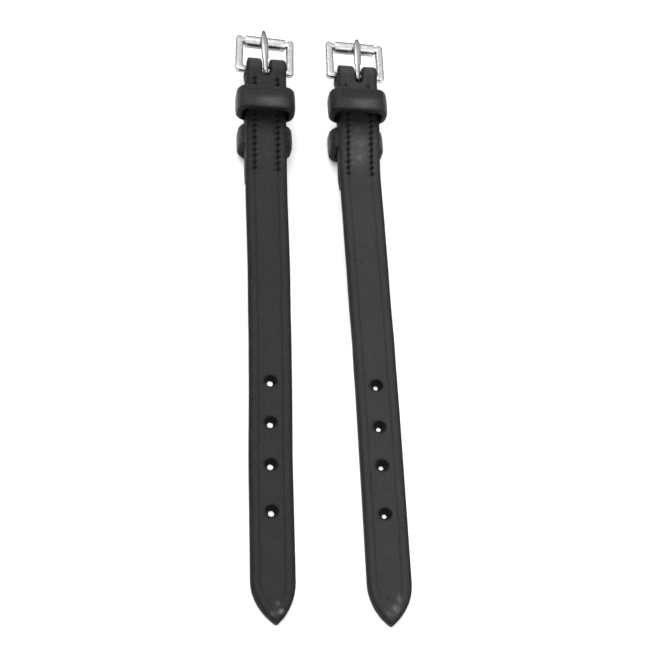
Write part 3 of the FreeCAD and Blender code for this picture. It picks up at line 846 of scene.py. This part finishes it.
class Look:
    """A material whose nodes are added one at a time."""

    def __init__(self, name):
        self.material = bpy.data.materials.new(name)
        self.material.use_nodes = True
        self.tree = self.material.node_tree
        self.shader = self.tree.nodes["Principled BSDF"]

    @classmethod
    def over(cls, tree):
        """The same helper over a node tree that is there already."""
        look = cls.__new__(cls)
        look.tree = tree
        return look

    def feed(self, socket, value):
        """Link another node's output to a socket, or set the socket to a plain value."""
        if isinstance(value, bpy.types.NodeSocket):
            self.tree.links.new(value, socket)
        else:
            socket.default_value = value

    def attribute(self, name, output="Fac"):
        node = self.tree.nodes.new("ShaderNodeAttribute")
        node.attribute_name = name
        return node.outputs[output]

    def stretched(self, vector, scale):
        node = self.tree.nodes.new("ShaderNodeMapping")
        self.feed(node.inputs["Vector"], vector)
        node.inputs["Scale"].default_value = scale
        return node.outputs["Vector"]

    def noise(self, vector, scale, detail=3.0, roughness=0.55, distortion=0.0):
        node = self.tree.nodes.new("ShaderNodeTexNoise")
        self.feed(node.inputs["Vector"], vector)
        node.inputs["Scale"].default_value = scale
        node.inputs["Detail"].default_value = detail
        node.inputs["Roughness"].default_value = roughness
        node.inputs["Distortion"].default_value = distortion
        return node.outputs["Fac"]

    def cells(self, vector, scale, feature="F1", output="Distance"):
        node = self.tree.nodes.new("ShaderNodeTexVoronoi")
        node.feature = feature
        self.feed(node.inputs["Vector"], vector)
        node.inputs["Scale"].default_value = scale
        return node.outputs[output]

    def math(self, operation, *values):
        node = self.tree.nodes.new("ShaderNodeMath")
        node.operation = operation
        for socket, value in zip(node.inputs, values):
            self.feed(socket, value)
        return node.outputs["Value"]

    def remap(self, value, low, high, to_low=0.0, to_high=1.0):
        node = self.tree.nodes.new("ShaderNodeMapRange")
        node.interpolation_type = "SMOOTHSTEP"
        for name, number in (
            ("Value", value),
            ("From Min", low),
            ("From Max", high),
            ("To Min", to_low),
            ("To Max", to_high),
        ):
            self.feed(node.inputs[name], number)
        return node.outputs["Result"]

    def mix(self, factor, first, second):
        node = self.tree.nodes.new("ShaderNodeMix")
        node.data_type = "RGBA"
        self.feed(node.inputs["Factor"], factor)
        self.feed(node.inputs["A"], first)
        self.feed(node.inputs["B"], second)
        return node.outputs["Result"]

    def bump(self, height, strength, distance, under=None):
        node = self.tree.nodes.new("ShaderNodeBump")
        node.inputs["Strength"].default_value = strength
        node.inputs["Distance"].default_value = distance
        self.feed(node.inputs["Height"], height)
        if under is not None:
            self.feed(node.inputs["Normal"], under)
        return node.outputs["Normal"]


def grey(level, warmth=0.0):
    """A linear colour, a little warmer than neutral where warmth is above 0."""
    return (level * (1 + warmth), level, level * (1 - warmth), 1.0)


def leather_look(name, level, worn, wrinkle, rough):
    """Black bridle leather: fine grain, pores, burnished edges, dulled wear, painted sheen, and painted shade in
    creases and stitch dimples.
    """
    look = Look(name)
    lay = look.attribute("lay", "Vector")
    edge = look.attribute("edge")
    press = look.attribute("press")
    scuff = look.attribute("scuff")
    mottle = look.noise(lay, 0.35, 4.0, 0.6)
    cloud = look.noise(lay, 0.07, 2.0, 0.5)
    grain_at = look.stretched(lay, (1.0, 0.8, 1.0))
    grain = look.cells(grain_at, 2.4, "SMOOTH_F1")
    fine = look.noise(lay, 5.0, 5.0, 0.65)
    creasing = look.noise(look.stretched(lay, wrinkle), 1.0, 4.0, 0.6, 0.6)

    colour = look.mix(look.remap(mottle, 0.3, 0.7), grey(level * 0.6), grey(level * 1.3))
    colour = look.mix(look.remap(cloud, 0.35, 0.65, 0.0, 0.35), colour, grey(level * 1.3))
    # Lighter patches in the grey worn: real scuffs near the tips, and painted sheen, broken into highlight
    # streaks, on the keepers' crowns, behind the front keeper and on the raised fold
    streaks = look.math("MAXIMUM", look.remap(fine, 0.42, 0.62), look.remap(creasing, 0.48, 0.64))
    haze = look.math("MULTIPLY", scuff, streaks)
    colour = look.mix(haze, colour, grey(worn))
    # Darker burnished edges, and painted shade in the creases and stitch dimples
    dark = look.math("MAXIMUM", look.math("MULTIPLY", edge, 0.75), press)
    colour = look.mix(dark, colour, grey(level * 0.15))
    look.feed(look.shader.inputs["Base Color"], colour)

    roughness = look.remap(mottle, 0.3, 0.7, rough, rough + 0.14)
    roughness = look.math("ADD", roughness, look.math("MULTIPLY", edge, 0.2))
    roughness = look.math("ADD", roughness, look.math("MULTIPLY", press, 0.5))
    roughness = look.math("ADD", roughness, look.math("MULTIPLY", haze, 0.25))
    look.feed(look.shader.inputs["Roughness"], roughness)
    look.shader.inputs["Specular IOR Level"].default_value = LEATHER_SPECULAR

    normal = look.bump(creasing, 0.6, 0.0002)
    normal = look.bump(grain, 1.0, 0.0002, normal)
    normal = look.bump(fine, 0.9, 0.0001, normal)
    look.feed(look.shader.inputs["Normal"], normal)
    return look.material


def thread_look():
    """Waxed black linen thread: twisted fibres with a low shine."""
    look = Look("waxed_black_thread")
    lay = look.attribute("lay", "Vector")
    fibres = look.noise(look.stretched(lay, (2.0, 14.0, 1.0)), 2.0, 3.0)
    colour = look.mix(look.remap(fibres, 0.3, 0.7), grey(0.003), grey(0.012))
    look.feed(look.shader.inputs["Base Color"], colour)
    look.feed(look.shader.inputs["Roughness"], look.remap(fibres, 0.3, 0.7, 0.6, 0.8))
    look.shader.inputs["Specular IOR Level"].default_value = THREAD_SPECULAR
    look.feed(look.shader.inputs["Normal"], look.bump(fibres, 0.5, 0.00008))
    return look.material


def steel_look(name, level, rough):
    """Polished steel: faint wear scratches, hazed patches and a trace of polishing waves."""
    look = Look(name)
    where = look.tree.nodes.new("ShaderNodeTexCoord").outputs["Object"]
    haze = look.noise(where, 900.0, 3.0, 0.6)
    scratches = look.noise(look.stretched(where, (300.0, 4200.0, 4200.0)), 1.0, 3.0, 0.7)
    waves = look.noise(where, 260.0, 2.0, 0.5)
    hazed, bright = grey(level * 0.86, STEEL_WARMTH), grey(level * 1.1, STEEL_WARMTH)
    colour = look.mix(look.remap(haze, 0.3, 0.7), hazed, bright)
    look.feed(look.shader.inputs["Base Color"], colour)
    look.shader.inputs["Metallic"].default_value = 1.0
    dull = look.remap(haze, 0.3, 0.7, rough, rough + 0.09)
    dull = look.math("ADD", dull, look.remap(scratches, 0.55, 0.75, 0.0, 0.12))
    look.feed(look.shader.inputs["Roughness"], dull)
    normal = look.bump(waves, 0.08, 0.00004)
    look.feed(look.shader.inputs["Normal"], look.bump(scratches, 0.12, 0.00002, normal))
    return look.material


def floor_look():
    """Pale matt paper."""
    look = Look("studio_floor")
    where = look.tree.nodes.new("ShaderNodeTexCoord").outputs["Object"]
    tone = look.noise(where, 6.0, 3.0)
    look.feed(look.shader.inputs["Base Color"], look.mix(tone, grey(0.93), grey(0.96)))
    look.shader.inputs["Roughness"].default_value = 0.9
    return look.material


def dress(piece, material, body, slot, *nodes):
    """Give a piece its material, the body that it rides on and the CAD nodes that it replaces."""
    piece.data.materials.append(material)
    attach(piece, body)
    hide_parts(*nodes)


def scuffs_and_sheen(spine, s, u):
    """Dulled patches of handling near the tip, and painted sheen behind the front keeper and on the raised fold.
    """
    marks = 0
    for along, long, across, wide, strength in SCUFFS[spine.side]:
        marks = marks + strength * bump(s, along, long) * bump(u, across, wide)
    # painted sheen: lighter patches behind the front keeper and on the raised fold
    sewn = STRAP_SHEEN[spine.side] * bump(s, spine.upper(-31.0), 6.0) * bump(u, 0.0, 5.0)
    return np.clip(marks + sewn + 0.35 * bump(s, spine.front - 3.0, 2.0), 0, 1)


def build_side(side, materials, rng):
    """One strap with its keepers, stitches and buckle."""
    place = strap_place(side)
    spine = Spine(side, place)
    plan = StrapMesh(spine)
    points, faces, attributes = plan.build()
    attributes["scuff"] = scuffs_and_sheen(spine, np.array(plan.s), np.array(plan.u))
    strap = make_object(f"{side}_strap_leather", points, faces, attributes)
    body = f"{side}_strap"
    dress(strap, materials[side], body, "strap_leather", f"{side}_strap")
    for which in ("front", "rear"):
        keeper = build_keeper(side, which, place, spine)
        dress(keeper, materials["keeper"], body, "keeper_leather", f"{side}_{which}_keeper")
    for which, row in (("outer", -STITCH_ROW), ("inner", STITCH_ROW)):
        stitches = build_stitches(plan, f"{side}_{which}_thread", row, rng)
        dress(stitches, materials["thread"], body, "thread", f"{side}_{which}_stitches")
    steel = buckle_place(side)
    for build, part, body in (
        (build_frame, "frame", "buckle"),
        (build_roller, "roller", "roller"),
        (build_tongue, "tongue", "tongue"),
    ):
        piece = build(side, steel)
        material = materials["tongue" if part == "tongue" else "steel"]
        dress(piece, material, f"{side}_{body}", "steel", f"{side}_buckle_{part}")


def build_camera():
    """A long lens that looks down along the straps, with +Y up in the picture."""
    up = Vector((0, 1, 0)) - CAMERA_BACK * CAMERA_BACK.y
    up.normalize()
    right = up.cross(CAMERA_BACK)
    turn = Matrix((right, up, CAMERA_BACK)).transposed()
    data = bpy.data.cameras.new("camera")
    data.lens = LENS
    data.clip_start = 0.01
    camera = bpy.data.objects.new("camera", data)
    stand = Matrix.Translation(CAMERA_TARGET + CAMERA_BACK * CAMERA_DISTANCE)
    camera.matrix_world = stand @ turn.to_4x4()
    bpy.context.scene.collection.objects.link(camera)
    bpy.context.scene.camera = camera


def area_light(name, place, aim, size, power):
    data = bpy.data.lights.new(name, "AREA")
    data.shape = "RECTANGLE"
    data.size, data.size_y = size
    data.energy = power
    light = bpy.data.objects.new(name, data)
    light.location = place
    light.rotation_euler = (Vector(aim) - Vector(place)).to_track_quat("-Z", "Y").to_euler()
    bpy.context.scene.collection.objects.link(light)


def build_studio():
    """A white floor under a sky that is dark at the horizon, and two soft lamps."""
    half = 3.0
    corners = [(-half, -half, 0), (half, -half, 0), (half, half, 0), (-half, half, 0)]
    mesh = bpy.data.meshes.new("floor")
    mesh.from_pydata(corners, [], [(0, 1, 2, 3)])
    mesh.materials.append(floor_look())
    floor = bpy.data.objects.new("floor", mesh)
    floor.location.z = -0.00005
    bpy.context.scene.collection.objects.link(floor)

    world = bpy.data.worlds.new("studio")
    world.use_nodes = True
    sky = Look.over(world.node_tree)
    coordinate = sky.tree.nodes.new("ShaderNodeTexCoord").outputs["Generated"]
    split = sky.tree.nodes.new("ShaderNodeSeparateXYZ")
    sky.feed(split.inputs["Vector"], coordinate)
    glow = sky.remap(split.outputs["Z"], 0.05, 0.8)
    background = sky.tree.nodes["Background"]
    sky.feed(background.inputs["Color"], sky.mix(glow, grey(0.04), grey(1.0)))
    background.inputs["Strength"].default_value = 1.5
    bpy.context.scene.world = world

    area_light("key", (-0.35, 0.35, 0.9), (0, 0, 0), (0.7, 0.7), 8.0)
    area_light("fill", (0.6, -0.5, 0.7), (0, 0, 0), (0.8, 0.8), 3.5)


def main():
    rng = random.Random(7)
    materials = {
        # Both straps are one leather: the left copy is painted darker and the right copy lighter, as painted shade
        # and painted light on each strap
        "left": leather_look("left_strap_leather", 0.0045, 0.12, FINE_CREASES, 0.46),
        "right": leather_look("right_strap_leather", 0.0105, 0.13, FINE_CREASES, 0.44),
        "keeper": leather_look("keeper_leather", 0.002, 0.1, KEEPER_CREASES, 0.34),
        "thread": thread_look(),
        "steel": steel_look("polished_steel", 0.47, 0.14),
        "tongue": steel_look("worn_tongue_steel", 0.26, 0.24),
    }
    for side in SIDES:
        build_side(side, materials, rng)
    build_studio()
    build_camera()
    bpy.context.scene.view_settings.view_transform = "Standard"


main()
